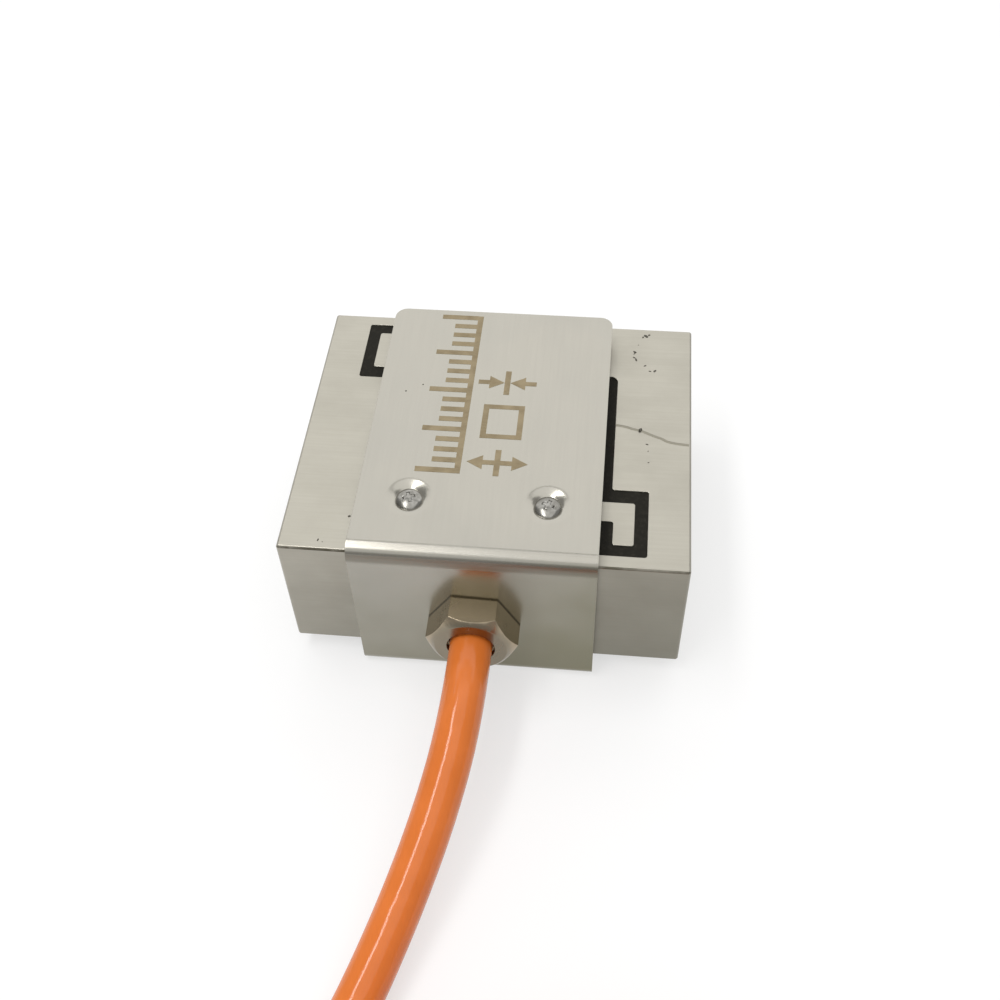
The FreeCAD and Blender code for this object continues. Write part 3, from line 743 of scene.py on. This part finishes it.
def screw_head():
    """A domed screw head with a pressed cross and its shank, standing on z = 0."""
    form = bmesh.new()
    bmesh.ops.create_uvsphere(form, u_segments=40, v_segments=20, radius=1.0)
    bmesh.ops.scale(form, vec=mm(HEAD_D / 2, HEAD_D / 2, HEAD_HEIGHT), verts=form.verts)
    lower = [vert for vert in form.verts if vert.co.z < -mm(0.001)]
    bmesh.ops.delete(form, geom=lower, context="VERTS")
    # Cuts along the cross's sides and ends, so that its arms are faces of their own.
    half = CROSS_WIDTH / 2
    for axis in (Vector((1, 0, 0)), Vector((0, 1, 0))):
        for offset in (-CROSS_REACH, -half, half, CROSS_REACH):
            everything = [*form.verts, *form.edges, *form.faces]
            bmesh.ops.bisect_plane(form, geom=everything, plane_co=axis * mm(offset), plane_no=axis)
    slots = []
    for face in form.faces:
        x, y, _ = (abs(part) * 1000 for part in face.calc_center_median())
        if min(x, y) < half and max(x, y) < CROSS_REACH:
            slots.append(face)
    walls = bmesh.ops.extrude_face_region(form, geom=slots)["geom"]
    bmesh.ops.translate(form, verts=verts_of(walls), vec=mm(0, 0, -CROSS_DEPTH))
    radius = mm(SHANK_D / 2)
    shank = bmesh.ops.create_cone(
        form, cap_ends=True, segments=24, radius1=radius, radius2=radius, depth=mm(SHANK_LENGTH)
    )
    bmesh.ops.translate(form, verts=shank["verts"], vec=mm(0, 0, -SHANK_LENGTH / 2))
    return form


def cover_screws(material):
    """The four screws in their dishes."""
    form = bmesh.new()
    base = COVER_TOP - MARK_ROOM - HEAD_BELOW - HEAD_HEIGHT - MIDDLE
    for (x, y), angle in zip(SCREW_PLACES, CROSS_ANGLES):
        for turned in (0, math.pi):
            head = screw_head()
            sit = Matrix.Translation(mm(0, 0, base)) @ Matrix.Rotation(math.radians(angle), 4, "Z")
            flip = Matrix.Rotation(turned, 4, "X")
            place = Matrix.Translation(mm(x, y, MIDDLE))
            bmesh.ops.transform(head, matrix=place @ flip @ sit, verts=head.verts)
            mesh = bpy.data.meshes.new("screw head")
            head.to_mesh(mesh)
            head.free()
            form.from_mesh(mesh)
            bpy.data.meshes.remove(mesh)
    made = piece(form, "cover_screws_finished", material)
    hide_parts("cover_screws")
    return made


def load_thread(side, material):
    """The thread's ridge in one load hole: its profile spun along the hole."""
    form = bmesh.new()
    end = BODY_LENGTH / 2 - THREAD_START
    root = THREAD_D / 2 + THREAD_SUNK
    crest = THREAD_D / 2 - THREAD_DEPTH * THREAD_PITCH
    profile = [(0.0, root), (0.42, crest), (0.58, crest), (1.0, root)]  # shares of the pitch, and radii
    verts = []
    for share, radius in profile:
        verts.append(form.verts.new(mm(side * (end - share * THREAD_PITCH), 0, MIDDLE + radius)))
    section = form.faces.new(verts)
    bmesh.ops.spin(
        form,
        geom=[section, *section.edges, *section.verts],
        cent=mm(0, 0, MIDDLE),
        axis=(1, 0, 0),
        dvec=mm(-side * THREAD_PITCH / THREAD_STEPS, 0, 0),
        angle=2 * math.pi * THREAD_TURNS,
        steps=round(THREAD_TURNS * THREAD_STEPS),
    )
    bmesh.ops.recalc_face_normals(form, faces=form.faces)
    name = "right" if side > 0 else "left"
    made = piece(form, f"load_thread_{name}", material)
    return made


def stroke(form, start, end, width):
    """A straight stroke of a mark on the cover's top."""
    start, end = Vector(start), Vector(end)
    along = end - start
    plate = bmesh.ops.create_grid(form, x_segments=1, y_segments=1, size=0.5)["verts"]
    size = Matrix.Diagonal((mm(along.length), mm(width), 1.0, 1.0))
    turn = Matrix.Rotation(math.atan2(along.y, along.x), 4, "Z")
    centre = Matrix.Translation(mm(*((start + end) / 2), MARK_Z))
    bmesh.ops.transform(form, matrix=centre @ turn @ size, verts=plate)


def arrow(form, tail, tip):
    """An arrow of a mark, with a solid head."""
    tail, tip = Vector(tail), Vector(tip)
    along = (tip - tail).normalized()
    stroke(form, tail, tip - along * ARROW_HEAD * 1.5, MARK_WIDTH)
    head = bmesh.ops.create_circle(form, cap_ends=True, segments=3, radius=mm(ARROW_HEAD))["verts"]
    turn = Matrix.Rotation(math.atan2(along.y, along.x) - math.pi / 2, 4, "Z")
    centre = Matrix.Translation(mm(*(tip - along * ARROW_HEAD), MARK_Z))
    bmesh.ops.transform(form, matrix=centre @ turn, verts=head)


def laser_marks(material):
    """Plain marks on the cover: a scale, and arrows for pull and push along the load axis."""
    form = bmesh.new()
    half = MARK_WIDTH / 2
    stroke(form, (SPINE_X, SPINE_FROM), (SPINE_X, SPINE_TO), MARK_WIDTH)
    for tick in range(TICKS):
        y = FIRST_TICK + TICK_PITCH * tick
        reach = LONG_TICK if tick % 4 == 0 else SHORT_TICK
        stroke(form, (SPINE_X - half, y), (SPINE_X - half - reach, y), TICK_WIDTH)
    for y, inwards in ((PULL_Y, False), (PUSH_Y, True)):
        stroke(form, (ARROWS_X, y - BAR_HALF), (ARROWS_X, y + BAR_HALF), MARK_WIDTH)
        for side in (-1, 1):
            near = (ARROWS_X + side * half, y)
            far = (ARROWS_X + side * ARROW_REACH, y)
            tail, tip = (far, near) if inwards else (near, far)
            arrow(form, tail, tip)
    for y in SQUARE_Y:
        stroke(form, (SQUARE_X[0] - half, y), (SQUARE_X[1] + half, y), MARK_WIDTH)
    for x in SQUARE_X:
        stroke(form, (x, SQUARE_Y[0] + half), (x, SQUARE_Y[1] - half), MARK_WIDTH)
    return piece(form, "laser_marks", material)


def specks(material):
    """Specks in the ground face of the block and on the cover."""
    chance = random.Random(4)
    top, on_cover, on_line = BLOCK_TOP, SPECK_ON_COVER, BLOCK_TOP + 0.09
    places = [
        (22.1, 1.85, on_line, 0.46),
        (22.0, 22.9, top, 0.26),
        (22.5, 23.2, top, 0.30),
        (23.0, 23.5, top, 0.24),
        (21.3, 21.0, top, 0.14),
        (20.75, 19.3, top, 0.22),
        (20.7, 18.9, top, 0.18),
        (20.65, 18.0, top, 0.18),
        (21.0, 17.5, top, 0.28),
        (22.5, 16.2, top, 0.20),
        (23.3, 15.0, top, 0.22),
        (24.1, 15.1, top, 0.24),
        (23.2, -1.0, top, 0.17),
        (23.4, -2.4, top, 0.10),
        (23.5, -4.7, top, 0.13),
        (-19.4, -21.0, on_cover, 0.22),
        (-14.9, 4.7, on_cover, 0.18),
        (-12.4, 6.3, on_cover, 0.14),
        (-24.0, -23.3, top, 0.18),
        (-23.3, -23.6, top, 0.10),
    ]
    form = bmesh.new()
    for x, y, z, size in places:
        spot = bmesh.ops.create_icosphere(form, subdivisions=1, radius=mm(size))["verts"]
        flat = Matrix.Diagonal((chance.uniform(0.9, 1.7), chance.uniform(0.6, 1.1), SPECK_THICKNESS, 1.0))
        turn = Matrix.Rotation(chance.uniform(0, math.pi), 4, "Z")
        bmesh.ops.transform(form, matrix=Matrix.Translation(mm(x, y, z)) @ turn @ flat, verts=spot)
    return piece(form, "specks", material)


def hairline(material):
    """Fine crooked line across the right end of the block."""
    points = [
        (18.3, 2.7),
        (19.8, 2.5),
        (21.0, 2.0),
        (22.2, 1.8),
        (24.6, 0.6),
        (25.4, 0.4),
        (26.6, -0.5),
        (29.6, -0.7),
    ]
    return smooth_route("hairline", [(x, y, HAIRLINE_Z) for x, y in points], HAIRLINE_D, material)


def floor():
    """Plain white floor; it looks white to the eye and in the metal, and keeps a trace of the shadow."""
    form = bmesh.new()
    bmesh.ops.create_grid(form, x_segments=1, y_segments=1, size=FLOOR_REACH)
    mesh = bpy.data.meshes.new("floor")
    form.to_mesh(mesh)
    form.free()
    made = bpy.data.objects.new("floor", mesh)
    bpy.context.collection.objects.link(made)
    material = bpy.data.materials.new("white floor")
    material.use_nodes = True
    nodes = material.node_tree.nodes
    links = material.node_tree.links
    nodes.remove(nodes["Principled BSDF"])
    matt = nodes.new("ShaderNodeBsdfDiffuse")
    matt.inputs["Color"].default_value = (FLOOR_TONE, FLOOR_TONE, FLOOR_TONE, 1.0)
    glow = nodes.new("ShaderNodeEmission")
    mix = nodes.new("ShaderNodeMixShader")
    rays = nodes.new("ShaderNodeLightPath")
    seen = rays.outputs["Is Camera Ray"]
    for ray in ("Is Glossy Ray", "Is Transmission Ray"):
        either = nodes.new("ShaderNodeMath")
        either.operation = "MAXIMUM"
        links.new(seen, either.inputs[0])
        links.new(rays.outputs[ray], either.inputs[1])
        seen = either.outputs[0]
    part = nodes.new("ShaderNodeMath")
    part.operation = "MULTIPLY"
    part.inputs[1].default_value = FLOOR_GLOW
    links.new(seen, part.inputs[0])
    links.new(part.outputs[0], mix.inputs[0])
    links.new(matt.outputs[0], mix.inputs[1])
    links.new(glow.outputs[0], mix.inputs[2])
    links.new(mix.outputs[0], nodes["Material Output"].inputs["Surface"])
    mesh.materials.append(material)
    return made


def lamp(name, place, target, size, watts):
    """Rectangular soft light that faces a target."""
    data = bpy.data.lights.new(name, "AREA")
    data.shape = "RECTANGLE"
    data.size, data.size_y = size
    data.energy = watts
    made = bpy.data.objects.new(name, data)
    made.location = place
    made.rotation_euler = (Vector(target) - Vector(place)).to_track_quat("-Z", "Y").to_euler()
    bpy.context.collection.objects.link(made)
    return made


def camera():
    """Camera above the lead, looking back and down at the cell."""
    azimuth = math.radians(CAMERA_AZIMUTH)
    elevation = math.radians(CAMERA_ELEVATION)
    roll = math.radians(CAMERA_ROLL)
    back = Vector(
        (
            math.sin(azimuth) * math.cos(elevation),
            -math.cos(azimuth) * math.cos(elevation),
            math.sin(elevation),
        )
    )
    right = Vector((math.cos(azimuth), math.sin(azimuth), 0.0))
    up = back.cross(right)
    across = math.cos(roll) * right + math.sin(roll) * up
    upward = -math.sin(roll) * right + math.cos(roll) * up
    data = bpy.data.cameras.new("camera")
    data.lens = CAMERA_LENS
    data.sensor_width = 36.0
    data.clip_start = 0.01
    made = bpy.data.objects.new("camera", data)
    turn = Matrix((across, upward, back)).transposed().to_4x4()
    made.matrix_world = Matrix.Translation(mm(*CAMERA_PLACE)) @ turn
    bpy.context.collection.objects.link(made)
    bpy.context.scene.camera = made


def studio():
    """Floor, lamps, surroundings and colour handling."""
    floor()
    lamp("overhead", (0.05, -0.25, 1.0), (0.05, -0.25, 0), (1.2, 1.3), 4.8)
    lamp("strip", (-0.35, -0.2, 0.97), (-0.35, -0.2, 0), (0.15, 0.9), 4.2)
    lamp("back", (0.0, 1.05, 0.75), (0, 0, 0.2), (2.6, 1.45), 12.6)
    lamp("front", (0.0, -1.15, 0.85), (0, 0, 0), (1.4, 0.55), 1.3)
    world = bpy.data.worlds.new("surroundings")
    world.use_nodes = True
    world.node_tree.nodes["Background"].inputs["Color"].default_value = (0.43, 0.43, 0.42, 1.0)
    world.node_tree.nodes["Background"].inputs["Strength"].default_value = 1.0
    bpy.context.scene.world = world
    bpy.context.scene.view_settings.view_transform = "Standard"


camera()
studio()
jacket = orange_jacket()
tinned = tinned_wire()
lead(jacket, tinned, tie_nylon())
steel = block_steel()
sealant = black_sealant()
nickel = gland_nickel()
refined("spring_element", steel, STEEL_ROUNDING)
cover(cover_steel())
for side in (-1, 1):
    load_thread(side, steel)
bright = screw_steel()
cover_screws(bright)
keep("cover_spacers", bright)
laser_marks(laser_mark())
refined("gland_screw", nickel, STEEL_ROUNDING)
for node in ("slot_sealant_right", "slot_sealant_left", "window_seal_top", "window_seal_bottom"):
    keep(node, sealant)
keep("gland_washer", nickel)
keep("gland_sleeve", sleeve_rubber())
keep("terminal_board", board_green())
keep("gauge_wires", tinned)
film = gauge_film()
for side in ("left", "right"):
    for end in ("front", "rear"):
        keep(f"strain_gauge_{side}_{end}", film)
for colour, tones in CORE_COLOURS.items():
    keep(f"inner_core_{colour}", core_plastic(f"{colour} inner core", *tones))
specks(dark_speck())
hairline(stained_steel())
